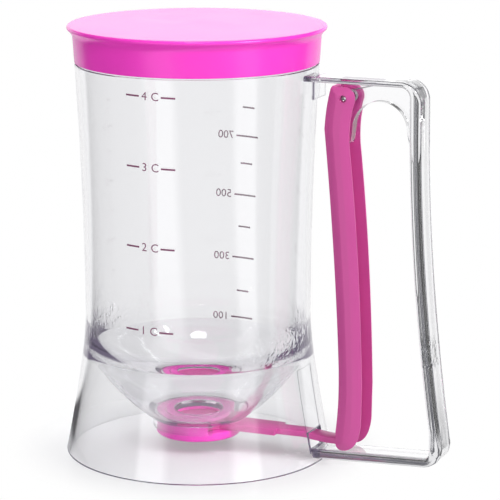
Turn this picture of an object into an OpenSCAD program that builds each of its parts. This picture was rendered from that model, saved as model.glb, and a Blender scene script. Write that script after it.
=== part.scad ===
// Hand-held batter dispenser: a clear cup with a funnel floor and a flared skirt, a closed loop
// handle, a press-on lid, and a squeeze trigger that draws a flat gate out from under the outlet.
// Frame: the cup's axis is Z, Z = 0 is the rim of the skirt, +X points to the handle.

/* [Cup wall] */
// Outer radius of the skirt where it stands
foot_r = 58; // [56:0.5:60]
// Outer radius at the waist
waist_r = 49; // [47.5:0.5:50]
// Height of the waist
waist_z = 62; // [60:0.5:66]
// Height at which the skirt's flare would turn vertical
flare_z = 45; // [42:0.5:48]
// Outer radius at the shoulder that the lid sits above
shoulder_r = 52.4; // [51.5:0.1:53]
// Height of the shoulder
shoulder_z = 170.6; // [170:0.2:176]
// Height of the plain rim above the shoulder
rim_h = 12; // [9:0.5:13]
// Step in from the shoulder to the rim
rim_step = 1; // [0.8:0.1:1.2]
// Wall thickness of cup, funnel and skirt
wall_t = 2; // [1.8:0.1:2.4]

/* [Funnel and outlet] */
// Radius of the funnel's bulging side, measured on its underside
funnel_r = 98; // [90:1:130]
// Height at which the funnel's underside meets the skirt
join_z = 44.6; // [42:0.2:46]
// Radius of the blend from the cup's wall into the funnel
blend_r = 32; // [20:1:36]
// Height of the flat funnel floor
floor_z = 18; // [17:0.5:19]
// Thickness of the funnel floor
floor_t = 3; // [2.5:0.1:3.4]
// Radius of the outlet
outlet_r = 10.5; // [8:0.5:10.5]
// Outer radius of the collar round the valve cap
collar_r = 20; // [19.8:0.1:21]
// Drop of the collar below the funnel floor
collar_drop = 5; // [3:0.5:6]

/* [Valve] */
// Outer radius of the valve cap
cap_r = 18.6; // [18:0.1:18.7]
// Height of the valve cap
cap_h = 8; // [7.4:0.1:9]
// Thickness of the valve cap's floor
cap_floor_t = 3.8; // [2.6:0.1:4]
// Radius of the gate's round end
gate_r = 14.4; // [13.6:0.1:14.6]
// Thickness of the gate
gate_t = 2.6; // [2.2:0.1:2.8]
// Width of the gate's arm beside the cap
arm_wide = 13; // [11:0.5:13]
// Width of the gate's arm outside the skirt
arm_narrow = 7.5; // [7:0.5:10]
// Distance from the axis to the step between both widths
arm_step_x = 38.5; // [32:0.5:42]
// Drop of the arm on its way to the trigger
arm_drop = 1.2; // [0.8:0.1:1.4]
// Width of the neck that passes through the trigger
neck_w = 6; // [4:0.5:6]
// Radius of the cross bar behind the trigger's wall
crossbar_r = 1.6; // [1.4:0.1:1.8]
// Outer radius of the seal ring
seal_r = 14.4; // [13:0.1:14.6]

/* [Handle] */
// Width of the handle's band
band_w = 14; // [14:0.5:17]
// Drop of the handle's top below the cup's shoulder
handle_drop = 2.2; // [1.6:0.1:3]
// Thickness of the handle's top bar
top_bar_t = 2.3; // [2:0.1:2.5]
// Distance from the axis to the back of the grip, at the top
grip_top_x = 103.4; // [101:0.5:108]
// Distance from the axis to the back of the grip, at the bottom
grip_foot_x = 114.9; // [113:0.5:118]
// Thickness of the grip
grip_t = 5; // [4:0.1:5.4]
// Height of the underside of the handle's lower bar, at the grip
low_bar_z = 4.6; // [4.2:0.1:5]
// Fall of the lower bar towards the skirt
low_bar_fall = 1.9; // [1.6:0.1:2.1]
// Thickness of the lower bar
low_bar_t = 4.2; // [3.6:0.1:4.4]
// Outer corner radius of the handle
corner_r = 9; // [7:0.5:10]
// Thickness of the web in the handle's upper corner
web_t = 5.2; // [4:0.1:5.4]
// Radius of the arch under the web
arch_r = 12; // [10:0.5:13]
// Reach of the rib under the top bar, from the cup's wall to its outer face
rib_reach = 4.6; // [3.6:0.1:5]
// Thickness of that rib
rib_t = 1.2; // [1:0.1:1.6]
// Height of that rib below the top bar
rib_h = 7.4; // [5:0.1:9]

/* [Trigger] */
// Distance from the axis to the trigger's pivot
pivot_x = 69.7; // [69.4:0.1:70.2]
// Drop of the trigger's pivot below the handle's top
pivot_drop = 8.3; // [8:0.1:8.8]
// Width of the trigger
trigger_w = 15.6; // [14.6:0.1:16]
// Wall thickness of the trigger's channel
trigger_wall = 1.6; // [1.4:0.1:1.8]
// Depth of the trigger from its front to its back edge
trigger_d = 10.6; // [9.6:0.1:11]
// Radius of the trigger's head behind the pivot
head_r = 4.9; // [4.6:0.1:5.6]
// Height of the trigger's lower end
trigger_foot_z = 8; // [7.9:0.1:8.4]
// Radius of the pivot pin
pin_r = 1.5; // [1.2:0.1:1.7]
// Swing of the trigger from rest to its stop, in degrees
trigger_swing = 9.5; // [8:0.1:9.5]

/* [Return spring] */
// Radius of the spring's wire
wire_r = 0.32; // [0.26:0.01:0.34]
// Mean radius of the spring's coil
coil_r = 2.3; // [2.2:0.05:2.6]
// Full turns in the coil
coil_turns = 2; // [1:1:2]

/* [Lid] */
// Outer radius of the lid's brim
brim_r = 55.5; // [55:0.5:58]
// Height of the lid above the cup's rim
brim_h = 4.2; // [3.6:0.1:5]
// Wall thickness of the lid's band at its lower edge
band_t = 0.9; // [0.8:0.1:1.2]
// Growth of the band's outer radius up to the brim
band_taper = 0.7; // [0.4:0.1:1]
// Gap between the shoulder and the lid's band
band_gap = 0.6; // [0.4:0.1:1]
// Depth of the plug ring inside the rim
plug_h = 6; // [4:0.5:8]

/* [Hidden] */
$fn = 96;

eps = 0.01;         // overlap of joined shapes and of cuts
beyond = 1;         // how far a cut runs past a face
run_gap = 0.2;      // gap between flat faces that slide
side_gap = 0.5;     // gap beside the gate and above the arm
pin_gap = 0.06;     // radial clearance of the pin in the trigger
press_gap = 0.02;   // radial clearance of the pin in the handle
fit_gap = 0.1;      // radial clearance of lid and cap on the cup
curve_n = 12;       // pieces in each long curve

// Cup: heights and the lines that other pieces share
rim_r = shoulder_r - rim_step;
rim_z = shoulder_z + rim_h;
inner_waist_r = waist_r - wall_t;
under_z = floor_z - floor_t;
collar_z = under_z - collar_drop;
join = [waist_r - wall_t / 2, join_z];
funnel_foot = [collar_r, under_z - 1.2];
funnel_centre = arc_centre(funnel_foot, join, funnel_r);
bowl_r = funnel_r - wall_t;

// Valve stack, downwards from the funnel floor
cap_top_z = under_z - run_gap;
cap_z = cap_top_z - cap_h;
gate_z = cap_z + cap_floor_t + run_gap;
gate_top_z = gate_z + gate_t;
gate_room_r = gate_r + side_gap;
collar_in_r = cap_r + fit_gap;

// Handle: the grip's back edge and the lower bar
handle_top_z = shoulder_z - handle_drop;
pivot_z = handle_top_z - pivot_drop;
grip_foot_z = low_bar_z + corner_r;
grip_head_z = handle_top_z - corner_r;
grip_bend_z = (grip_foot_z + grip_head_z) / 2 + 2;
top_bar_under_z = handle_top_z - top_bar_t;
low_bar_root_x = foot_r;
low_bar_end_x = grip_foot_x - corner_r;
arch_x = grip_top_x - 19.3;
arch_z = grip_head_z - 12.2;
tongue_tip_h = 20;
tongue_tip_w = 4.4;

// Trigger: three places on its front edge, from the foot up
trigger_front_x = 67.2;
trigger_knee = [trigger_front_x + 1.3, trigger_foot_z + 32];
trigger_bulge = [trigger_front_x - 6, pivot_z - 13.1];
trigger_mid_z = (trigger_knee[1] + trigger_bulge[1]) / 2;
toe_r = 3;
head_top_z = top_bar_under_z - 0.9;
head_front_x = trigger_bulge[0] + 3.4;
channel_w = trigger_w - 2 * trigger_wall;
neck_top_z = gate_top_z - arm_drop;
neck_z = gate_z - arm_drop;
neck_mid_z = (neck_z + neck_top_z) / 2;
shoulder_x = trigger_front_x - 0.5;
crossbar_x = trigger_front_x + trigger_wall + crossbar_r + 0.3;
slot_top_z = gate_top_z + side_gap;

// The web's tongue stops the trigger: its front wall lands on it at the end of the swing
stop_x = trigger_bulge[0] + trigger_wall + 0.5 - pivot_x;
tongue_x = pivot_x + stop_x * cos(trigger_swing) + tongue_tip_h * sin(trigger_swing) + 0.3;

// Outer radius of the cup's wall at a height above the waist
function wall_r(z) =
    waist_r + (shoulder_r - waist_r) * pow((z - waist_z) / (shoulder_z - waist_z), 2);

// Points of a quadratic curve from a to c, with its corner at b
function curve(a, b, c, n = curve_n) =
    [for (i = [0 : n]) let (t = i / n) (1 - t) * (1 - t) * a + 2 * t * (1 - t) * b + t * t * c];

// Points of an arc, from angle a0 to a1
function arc(centre, r, a0, a1, n = 8) =
    [for (i = [0 : n]) let (a = a0 + (a1 - a0) * i / n) centre + r * [cos(a), sin(a)]];

// Angle of a direction, in degrees
function polar(d) = atan2(d[1], d[0]);

// Points with a distance added to their first value
function shifted(list, d) = [for (p = list) p + [d, 0]];

function flare(inset) =
    curve([foot_r - inset, 0], [waist_r - inset, flare_z], [waist_r - inset, waist_z]);

function upper_wall(inset) =
    [for (i = [0 : curve_n]) let (z = waist_z + (shoulder_z - waist_z) * i / curve_n)
        [wall_r(z) - inset, z]];

// Centre of the arc of radius r from a to b that bulges away from the axis
function arc_centre(a, b, r) =
    let (half = norm(b - a) / 2, along = (b - a) / norm(b - a))
    (a + b) / 2 + [-along[1], along[0]] * sqrt(r * r - half * half);

// The whole outer form of the cup, filled in
module cup_outline() {
    polygon(concat(
        [[0, 0]],
        flare(0),
        upper_wall(0),
        [[rim_r, shoulder_z], [rim_r, rim_z], [0, rim_z]]
    ));
}

// Room inside the cup, down to the funnel floor
module bowl_room() {
    blend_x = inner_waist_r - blend_r;
    reach = blend_x - funnel_centre[0];
    blend_drop = sqrt(pow(bowl_r - blend_r, 2) - pow(reach, 2));
    turn = atan2(blend_drop, reach);
    floor_angle = asin((floor_z - funnel_centre[1]) / bowl_r);
    polygon(concat(
        [[0, floor_z]],
        arc(funnel_centre, bowl_r, floor_angle, -turn),
        arc([blend_x, funnel_centre[1] - blend_drop], blend_r, -turn, 0),
        upper_wall(wall_t),
        [[shoulder_r - wall_t, rim_z + beyond], [0, rim_z + beyond]]
    ));
}

// Room inside the skirt, under the funnel, the collar and the floor
module skirt_room(inset) {
    far_r = foot_r + beyond;
    intersection() {
        polygon(concat(
            [[0, -beyond], [foot_r - inset, -beyond]],
            flare(inset),
            [[0, waist_z]]
        ));
        polygon(concat(
            [[0, -beyond], [far_r, -beyond], [far_r, join_z + far_r - join[0]]],
            arc(funnel_centre, funnel_r, polar(join - funnel_centre), polar(funnel_foot - funnel_centre)),
            [[collar_r, collar_z], [collar_in_r, collar_z], [collar_in_r, under_z], [0, under_z]]
        ));
    }
}

// Shallow guide groove inside the skirt, above the arm's slot
module guide_groove() {
    groove_deep = 0.7;
    intersection() {
        translate([foot_r / 2, -band_w / 2, neck_z])
            cube([foot_r, band_w, flare_z - neck_z - 2 * wall_t]);
        rotate_extrude() skirt_room(wall_t - groove_deep);
    }
}

module cup() {
    color([0.9, 0.93, 0.95, 0.45])
    difference() {
        rotate_extrude() difference() {
            cup_outline();
            bowl_room();
            skirt_room(wall_t);
            translate([0, under_z - beyond]) square([outlet_r, floor_t + 2 * beyond]);
        }
        guide_groove();
        // slot for the arm, from the lower bar's top to just above the arm
        translate([foot_r / 2, -band_w / 2, low_bar_z])
            cube([foot_r, band_w, slot_top_z - low_bar_z]);
        // the collar is open where the gate slides out
        translate([0, -gate_room_r, collar_z - beyond])
            cube([collar_r + beyond, 2 * gate_room_r, collar_drop + beyond]);
    }
}

// Side view of the handle's band: outer form less the loop inside it
module band_outline() {
    back = curve([grip_top_x, grip_head_z], [grip_top_x, grip_bend_z], [grip_foot_x, grip_foot_z]);
    inner = shifted(back, -grip_t);
    inner_r = corner_r - grip_t;
    root_z = low_bar_z - low_bar_fall;
    difference() {
        polygon(concat(
            [[0, root_z], [0, handle_top_z]],
            arc([grip_top_x - corner_r, grip_head_z], corner_r, 90, 0),
            back,
            arc([low_bar_end_x, grip_foot_z], corner_r, 0, -90),
            [[low_bar_root_x, root_z]]
        ));
        polygon(concat(
            [[-beyond, root_z + low_bar_t], [-beyond, top_bar_under_z]],
            arc([grip_top_x - corner_r, top_bar_under_z - inner_r], inner_r, 90, 0),
            inner,
            [[grip_foot_x - grip_t - 1, low_bar_z + low_bar_t]],
            [[low_bar_root_x, root_z + low_bar_t]]
        ));
    }
}

// Side view of the web: it fills the upper corner and reaches down into the trigger
module web_outline() {
    into = 0.5;
    left_x = head_front_x + trigger_wall + side_gap;
    right_x = grip_top_x - grip_t + into;
    tip = [tongue_x, pivot_z - tongue_tip_h] + [tongue_tip_w, tongue_tip_w] / 2;
    polygon(concat(
        [[left_x, top_bar_under_z + into], [left_x, pivot_z]],
        arc(tip, tongue_tip_w / 2, 180, 360),
        arc([arch_x, arch_z], arch_r, 180, 0, 16),
        [[right_x, arch_z - 30], [right_x, top_bar_under_z + into]]
    ));
}

// Side views are drawn in X and Z, then pulled out along Y
module pulled(width) {
    translate([0, width / 2, 0]) rotate([90, 0, 0]) linear_extrude(width) children();
}

module handle_frame() {
    rib_x = sqrt(pow(shoulder_r, 2) - pow(band_w / 2, 2)) + rib_reach - rib_t;
    color([0.9, 0.93, 0.95, 0.45])
    difference() {
        union() {
            pulled(band_w) band_outline();
            pulled(web_t) web_outline();
            translate([rib_x, -band_w / 2, top_bar_under_z - rib_h])
                cube([rib_t, band_w, rib_h + eps]);
        }
        rotate_extrude() cup_outline();
        translate([pivot_x, 0, pivot_z]) rotate([90, 0, 0])
            cylinder(r = pin_r + press_gap, h = band_w, center = true);
    }
}

module valve_cap() {
    chamfer = 0.8;
    color("hotpink")
    difference() {
        rotate_extrude() polygon([
            [outlet_r, cap_z], [cap_r - chamfer, cap_z], [cap_r, cap_z + chamfer],
            [cap_r, cap_top_z], [outlet_r, cap_top_z]
        ]);
        translate([0, 0, gate_z - run_gap]) cylinder(r = gate_room_r, h = cap_h);
        translate([0, -gate_room_r, gate_z - run_gap])
            cube([cap_r + beyond, 2 * gate_room_r, cap_h]);
    }
}

// Ring between the funnel floor and the gate
module valve_seal() {
    color("whitesmoke")
    translate([0, 0, gate_top_z + fit_gap])
        difference() {
            cylinder(r = seal_r, h = under_z - gate_top_z - fit_gap);
            translate([0, 0, -beyond]) cylinder(r = outlet_r + side_gap, h = floor_t + beyond);
        }
}

// Gate plate with its arm, which drops a little on its way to the trigger
module slide_gate() {
    bend_x = foot_r - 8;
    low_x = bend_x + 12;
    color("deeppink")
    union() {
        translate([0, 0, gate_z]) cylinder(r = gate_r, h = gate_t);
        intersection() {
            pulled(band_w) polygon([
                [0, gate_z], [bend_x, gate_z], [low_x, neck_z], [crossbar_x, neck_z],
                [crossbar_x, neck_top_z], [low_x, neck_top_z], [bend_x, gate_top_z], [0, gate_top_z]
            ]);
            union() {
                translate([0, -arm_wide / 2, 0]) cube([arm_step_x, arm_wide, floor_z]);
                translate([0, -arm_narrow / 2, 0]) cube([shoulder_x, arm_narrow, floor_z]);
                translate([0, -neck_w / 2, 0]) cube([crossbar_x, neck_w, floor_z]);
            }
        }
        translate([crossbar_x, 0, neck_mid_z]) rotate([90, 0, 0])
            cylinder(r = crossbar_r, h = channel_w - 2 * fit_gap - 0.4, center = true);
    }
}

// Front edge of the trigger, from above its toe up to its head
function trigger_front() = concat(
    curve([trigger_front_x, trigger_foot_z + 8], [trigger_knee[0] + 0.2, trigger_foot_z + 19],
        trigger_knee, 4),
    curve(trigger_knee + [-0.03, 4], [trigger_bulge[0] + 5.4, trigger_mid_z], trigger_bulge),
    curve(trigger_bulge + [0.3, 3.5], [trigger_bulge[0] + 1, pivot_z - 2],
        [head_front_x - 0.7, head_top_z - 1], 4),
    [[head_front_x, head_top_z]]
);

// Back edge of the trigger's cheeks, from the head down to the foot
function trigger_back() =
    let (
        neck = [trigger_bulge[0] + trigger_d + 0.4, trigger_bulge[1] - 4],
        knee = trigger_knee + [trigger_d - 0.2, -4]
    )
    concat(
        arc([pivot_x, pivot_z], head_r, 70, -25),
        curve([pivot_x + head_r - 0.9, pivot_z - 4], neck + [-0.1, 8], neck, 4),
        curve(neck - [-0.1, 3], [neck[0] + 5.4, trigger_mid_z - 1.5], knee),
        curve([knee[0] - 0.3, trigger_foot_z + 12], [knee[0] - 1.4, trigger_foot_z + 0.6],
            [trigger_front_x + toe_r + 0.7, trigger_foot_z], 6)
    );

module trigger_lever() {
    notch_w = neck_w + 0.8;
    toe = arc([trigger_front_x + toe_r, trigger_foot_z + toe_r], toe_r, 270, 180, 4);
    color("mediumvioletred")
    difference() {
        pulled(trigger_w) polygon(concat(toe, trigger_front(), trigger_back()));
        // channel between the cheeks, open towards the grip and at both ends
        pulled(channel_w) polygon(concat(
            [[trigger_front_x + trigger_wall, -beyond]],
            shifted(trigger_front(), trigger_wall),
            [[head_front_x + trigger_wall, handle_top_z], [grip_top_x, handle_top_z],
             [grip_top_x, -beyond]]
        ));
        // notch for the gate's neck, open below
        translate([trigger_front_x - trigger_d / 2, -notch_w / 2, 0])
            cube([trigger_d, notch_w, neck_top_z + side_gap]);
        translate([pivot_x, 0, pivot_z]) rotate([90, 0, 0])
            cylinder(r = pin_r + pin_gap, h = trigger_w + 2 * beyond, center = true);
    }
}

module pivot_pin() {
    recess = 0.5;
    color("silver")
    translate([pivot_x, 0, pivot_z]) rotate([90, 0, 0])
        cylinder(r = pin_r, h = trigger_w - 2 * recess, center = true);
}

// Torsion spring round the pin: one leg on the trigger's front wall, one under the top bar
module return_spring() {
    sides = 8;
    steps = 12;
    web_y = web_t / 2 + 0.15 + wire_r;
    cheek_y = channel_w / 2 - 0.15 - wire_r;
    pivot = [pivot_x, pivot_z];
    wall_end = [trigger_bulge[0] + trigger_wall + wire_r + 0.5, pivot_z - 17];
    bar_end = [pivot_x + 12.3, top_bar_under_z - wire_r - 0.03];
    // a leg that leaves the coil clockwise touches it at this angle
    function leave(end) = polar(end - pivot) + acos(coil_r / norm(end - pivot));
    function arrive(end) = polar(end - pivot) - acos(coil_r / norm(end - pivot)) + 360;
    a0 = arrive(wall_end);
    a1 = leave(bar_end) - 360 * coil_turns;
    count = steps * coil_turns + 2;
    path = concat(
        [[wall_end[0], cheek_y, wall_end[1]]],
        [for (i = [0 : count]) let (t = i / count, a = a0 + (a1 - a0) * t)
            [pivot_x + coil_r * cos(a), cheek_y + (web_y - cheek_y) * t, pivot_z + coil_r * sin(a)]],
        [[bar_end[0], web_y, bar_end[1]]]
    );
    last = len(path) - 1;
    // a ring of points round each path point, square to the wire
    rings = [for (i = [0 : last]) let (
        d = path[min(i + 1, last)] - path[max(i - 1, 0)],
        u = cross(d, [0, 1, 0]) / norm(cross(d, [0, 1, 0])),
        v = cross(u, d) / norm(cross(u, d))
    ) for (k = [0 : sides - 1]) path[i] + wire_r * (u * cos(360 * k / sides) + v * sin(360 * k / sides))];
    color("silver")
    polyhedron(rings, concat(
        [[for (k = [0 : sides - 1]) k]],
        [for (i = [0 : last - 1], k = [0 : sides - 1]) let (m = (k + 1) % sides)
            [i * sides + m, i * sides + k, (i + 1) * sides + k, (i + 1) * sides + m]],
        [[for (k = [sides - 1 : -1 : 0]) last * sides + k]]
    ));
}

module lid() {
    band_in_r = rim_r + fit_gap;
    band_out_r = band_in_r + band_t;
    band_z = shoulder_z + band_gap;
    plug_t = 1.3;
    plug_out_r = shoulder_r - wall_t - 3 * fit_gap;
    plug_in_r = plug_out_r - plug_t;
    plate_z = rim_z + fit_gap;
    top_z = plate_z + brim_h;
    edge_r = 1;
    color("hotpink")
    rotate_extrude() polygon(concat(
        [[0, plate_z], [plug_in_r, plate_z], [plug_in_r, rim_z - plug_h],
         [plug_out_r, rim_z - plug_h], [plug_out_r, plate_z], [band_in_r, plate_z],
         [band_in_r, band_z], [band_out_r, band_z]],
        curve([band_out_r + band_taper - 0.05, plate_z - 1], [band_out_r + band_taper, plate_z + 0.6],
            [brim_r - 0.6, top_z - 2 * edge_r + 0.1], 4),
        arc([brim_r - edge_r, top_z - edge_r], edge_r, -40, 90, 6),
        [[0, top_z]]
    ));
}

cup();
handle_frame();
valve_cap();
valve_seal();
slide_gate();
trigger_lever();
pivot_pin();
return_spring();
lid();
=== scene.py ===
"""Dress for a hand-held batter dispenser: clear body, pink lid, valve and squeeze trigger.

Sizes are in millimetres in the shape functions and in metres in Blender. The frame has Z up along
the cup's axis, the foot at Z = 0, the handle on +X and the cup scale on -Y.
"""

import math

import bpy
from mathutils import Matrix, Vector


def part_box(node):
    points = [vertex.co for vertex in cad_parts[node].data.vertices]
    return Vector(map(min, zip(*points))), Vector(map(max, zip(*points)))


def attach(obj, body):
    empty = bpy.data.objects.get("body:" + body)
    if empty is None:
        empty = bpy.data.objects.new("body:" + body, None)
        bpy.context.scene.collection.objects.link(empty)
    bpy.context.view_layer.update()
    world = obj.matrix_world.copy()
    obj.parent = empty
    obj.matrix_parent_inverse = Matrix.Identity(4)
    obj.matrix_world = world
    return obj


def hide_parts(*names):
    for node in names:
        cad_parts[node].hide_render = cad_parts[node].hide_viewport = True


bl_info = {
    "name": "Batter dispenser",
    "version": (1, 0, 0),
    "blender": (4, 5, 0),
    "location": "View3D > Sidebar > Batter dispenser",
    "description": "Builds the looks of a clear batter dispenser on its CAD frame",
    "category": "Object",
}

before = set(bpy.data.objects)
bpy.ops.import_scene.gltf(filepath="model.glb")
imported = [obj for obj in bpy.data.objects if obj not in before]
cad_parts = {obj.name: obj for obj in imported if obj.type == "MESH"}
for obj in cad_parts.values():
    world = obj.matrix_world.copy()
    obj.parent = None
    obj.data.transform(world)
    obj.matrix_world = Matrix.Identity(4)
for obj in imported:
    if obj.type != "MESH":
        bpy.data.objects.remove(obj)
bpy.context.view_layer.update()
MM = 0.001


def cad_span(node, axis, side):
    """Where a CAD node starts (side 0) or ends (side 1) along an axis, in metres."""
    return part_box(node)[side][axis]


# ------------------------------
# Sizes and colours that a user would change
# ------------------------------


class ClearBodySettings(bpy.types.PropertyGroup):
    foot_radius: bpy.props.FloatProperty(
        name="Foot radius", description="Outer radius of the skirt where it stands",
        default=-cad_span("cup", 0, 0), unit="LENGTH",
    )
    rim_height: bpy.props.FloatProperty(
        name="Rim height", description="Height of the cup's rim under the lid",
        default=cad_span("cup", 2, 1), unit="LENGTH",
    )
    wall: bpy.props.FloatProperty(
        name="Wall", description="Thickness of cup, funnel and skirt",
        default=2.0 * MM, unit="LENGTH",
    )
    edge: bpy.props.FloatProperty(
        name="Handle edge", description="Rounding of the handle's long edges",
        default=1.9 * MM, unit="LENGTH",
    )
    steps: bpy.props.IntProperty(
        name="Steps", description="Faces round the cup", default=160, min=48, max=256,
    )


class LidSettings(bpy.types.PropertyGroup):
    colour: bpy.props.StringProperty(
        name="Colour", description="Colour of the lid's plastic, as sRGB hex", default="#F53CC6",
    )
    steps: bpy.props.IntProperty(
        name="Steps", description="Faces round the lid", default=192, min=48, max=256,
    )


class TriggerSettings(bpy.types.PropertyGroup):
    colour: bpy.props.StringProperty(
        name="Colour", description="Colour of the trigger's plastic, as sRGB hex",
        default="#C64C95",
    )
    crown_width: bpy.props.FloatProperty(
        name="Crown width", description="How far in from its edge a cheek curves",
        default=4.2 * MM, unit="LENGTH",
    )
    crown_depth: bpy.props.FloatProperty(
        name="Crown depth", description="How far a cheek falls away towards its edge",
        default=1.0 * MM, unit="LENGTH",
    )


class ValveSettings(bpy.types.PropertyGroup):
    colour: bpy.props.StringProperty(
        name="Colour", description="Colour of the valve's cap and seal, as sRGB hex",
        default="#F03ABF",
    )
    edge: bpy.props.FloatProperty(
        name="Edge", description="Rounding of the cap's and the gate's edges",
        default=0.35 * MM, unit="LENGTH",
    )


class PivotSettings(bpy.types.PropertyGroup):
    recess: bpy.props.FloatProperty(
        name="Recess", description="How far the pin's ends lie below the cheeks",
        default=2.2 * MM, unit="LENGTH",
    )
    wire: bpy.props.FloatProperty(
        name="Wire", description="Radius of the return spring's wire",
        default=0.32 * MM, unit="LENGTH",
    )


class ScaleSettings(bpy.types.PropertyGroup):
    colour: bpy.props.StringProperty(
        name="Ink", description="Colour of the printed scales, as sRGB hex", default="#6E3A58",
    )
    letter_height: bpy.props.FloatProperty(
        name="Letter height", description="Height of the scales' figures",
        default=3.5 * MM, unit="LENGTH",
    )
    slant: bpy.props.FloatProperty(
        name="Slant", description="How far the print is turned on the wall",
        default=math.radians(1.6), subtype="ANGLE",
    )


class StudioSettings(bpy.types.PropertyGroup):
    floor_colour: bpy.props.StringProperty(
        name="Floor", description="Colour of the floor, as sRGB hex", default="#E4E4E6",
    )
    lens: bpy.props.FloatProperty(
        name="Lens", description="Focal length of the camera", default=178.57, unit="CAMERA",
    )
    azimuth: bpy.props.FloatProperty(
        name="Azimuth", description="How far backdrop, flags and softboxes are turned",
        default=math.radians(24.5), subtype="ANGLE",
    )


# ------------------------------
# Shapes: points in millimetres
# ------------------------------

WAIST_R, WAIST_Z, FLARE_Z = 49.0, 62.0, 45.0
SHOULDER_R, SHOULDER_Z, RIM_STEP = 52.4, 170.6, 1.0
FUNNEL_R, JOIN_Z, BLEND_R = 98.0, 44.6, 32.0
FLOOR_Z, FLOOR_T, OUTLET_R = 18.0, 3.0, 10.5
COLLAR_R, COLLAR_DROP, CAP_R = 20.0, 5.0, 18.6
# underside of the outlet floor, and where the funnel's underside meets the collar
UNDER_Z = FLOOR_Z - FLOOR_T
FUNNEL_FOOT = (COLLAR_R, UNDER_Z - 1.2)
GATE_ROOM_R, SLOT_TOP_Z, NECK_Z, NECK_TOP_Z = 14.9, 13.9, 9.6, 12.2
BAND_W, TOP_BAR_T, GRIP_T, CORNER_R = 14.0, 2.3, 5.0, 9.0
HANDLE_TOP_Z, GRIP_TOP_X, GRIP_FOOT_X = 168.4, 103.4, 114.9
LOW_BAR_Z, LOW_BAR_FALL, LOW_BAR_T = 4.6, 1.9, 4.2
WEB_T, ARCH_R, RIB_REACH, RIB_T, RIB_H = 5.2, 12.0, 4.6, 1.2, 7.4
PIVOT_X, PIVOT_Z, PIN_R = 69.7, 160.1, 1.5
TRIGGER_W, TRIGGER_WALL, TRIGGER_D, HEAD_R, FOOT_Z, TOE_R = 15.6, 1.6, 10.6, 4.9, 8.0, 3.0
FRONT_X = 67.2
BULGE_X = FRONT_X - 6
# where the trigger's front edge bends, and where it stands out most
KNEE, BULGE = Vector((FRONT_X + 1.3, FOOT_Z + 32)), Vector((BULGE_X, PIVOT_Z - 13.1))
TONGUE_X, TONGUE_R, TONGUE_H = 67.0, 2.2, 20.0
LID_TOP_EDGE_R, PLUG_H, PLUG_T = 1.0, 6.0, 1.3
NOTCH_HALF = 3.4
# height of the thick root where funnel and wall meet
ROOT_Z = 54
# where the camera stands and looks, and its horizon, in metres
CAMERA_PLACE = (0.43543, -0.95546, 0.32552)
CAMERA_AHEAD = (-0.385334, 0.896059, -0.220447)
CAMERA_RIGHT = (0.918658, 0.395053, 0.0)
LAMP_AIM = (0.0, 0.0, 0.09)
# the tent's light on surfaces that mirror nothing
AMBIENT = 0.62
# marks of the printed scales with their heights
CUP_MARKS = ((1, 63.4), (2, 99.3), (3, 133.4), (4, 163.3))
ML_MARKS = (
    (100, 46.5), (200, 59.5), (300, 75.0), (400, 89.3),
    (500, 103.8), (600, 118.2), (700, 130.5), (800, 143.5),
)
# how far from the axis the print is drawn before it is laid on the wall, and the height about
# which it is turned
PRINT_Y, PRINT_MIDDLE_Z = 70, 105
TICK_T = 0.75


def bend(a, b, c, count=24):
    """Points of a quadratic curve from a to c with its corner at b."""
    a, b, c = Vector(a), Vector(b), Vector(c)
    steps = [i / count for i in range(count + 1)]
    return [(1 - t) ** 2 * a + 2 * t * (1 - t) * b + t * t * c for t in steps]


def arc(centre, radius, start, end, count=16):
    """Points of an arc, with its angles in degrees."""
    turns = [math.radians(start + (end - start) * i / count) for i in range(count + 1)]
    return [Vector(centre) + radius * Vector((math.cos(t), math.sin(t))) for t in turns]


def heading(vector):
    """Angle of a direction, in degrees."""
    return math.degrees(math.atan2(vector[1], vector[0]))


def wall_point(z, inset=0.0):
    """Point of the cup's wall at a height above the waist."""
    rise = (z - WAIST_Z) / (SHOULDER_Z - WAIST_Z)
    return Vector((WAIST_R + (SHOULDER_R - WAIST_R) * rise**2 - inset, z))


def skirt(foot_r, inset=0.0):
    """Points up the skirt's flare, from the foot to the waist."""
    waist = WAIST_R - inset
    return bend((foot_r - inset, 0), (waist, FLARE_Z), (waist, WAIST_Z), 36)


def upper_wall(inset=0.0):
    """Points up the cup's wall, from the waist to the shoulder."""
    return [wall_point(WAIST_Z + (SHOULDER_Z - WAIST_Z) * i / 30, inset) for i in range(31)]


def funnel_centre(wall):
    """Centre of the arc of the funnel's underside."""
    foot = Vector(FUNNEL_FOOT)
    join = Vector((WAIST_R - wall / 2, JOIN_Z))
    half = (join - foot).length / 2
    along = (join - foot).normalized()
    return (foot + join) / 2 + Vector((-along.y, along.x)) * math.sqrt(FUNNEL_R**2 - half**2)


def bowl_side(wall):
    """Points up the bowl, from its flat floor to the wall."""
    centre, radius = funnel_centre(wall), FUNNEL_R - wall
    blend_x = WAIST_R - wall - BLEND_R
    reach = blend_x - centre.x
    drop = math.sqrt((radius - BLEND_R) ** 2 - reach**2)
    turn = math.degrees(math.atan2(drop, reach))
    start = math.degrees(math.asin((FLOOR_Z - centre.y) / radius))
    side = arc(centre, radius, start, -turn, 30)
    return side + arc((blend_x, centre.y - drop), BLEND_R, -turn, 0, 20)[1:]


def skirt_inside(foot_r, wall):
    """Points up the skirt's inner face to the funnel, then down the funnel's underside."""
    centre = funnel_centre(wall)
    up = []
    for point in skirt(foot_r, wall):
        if point.y > centre.y - math.sqrt(FUNNEL_R**2 - (point.x - centre.x) ** 2):
            break
        up.append(point)
    down = arc(centre, FUNNEL_R, heading(up[-1] + Vector((0, 1.2)) - centre),
               heading(Vector(FUNNEL_FOOT) - centre), 36)
    return up + down


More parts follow.
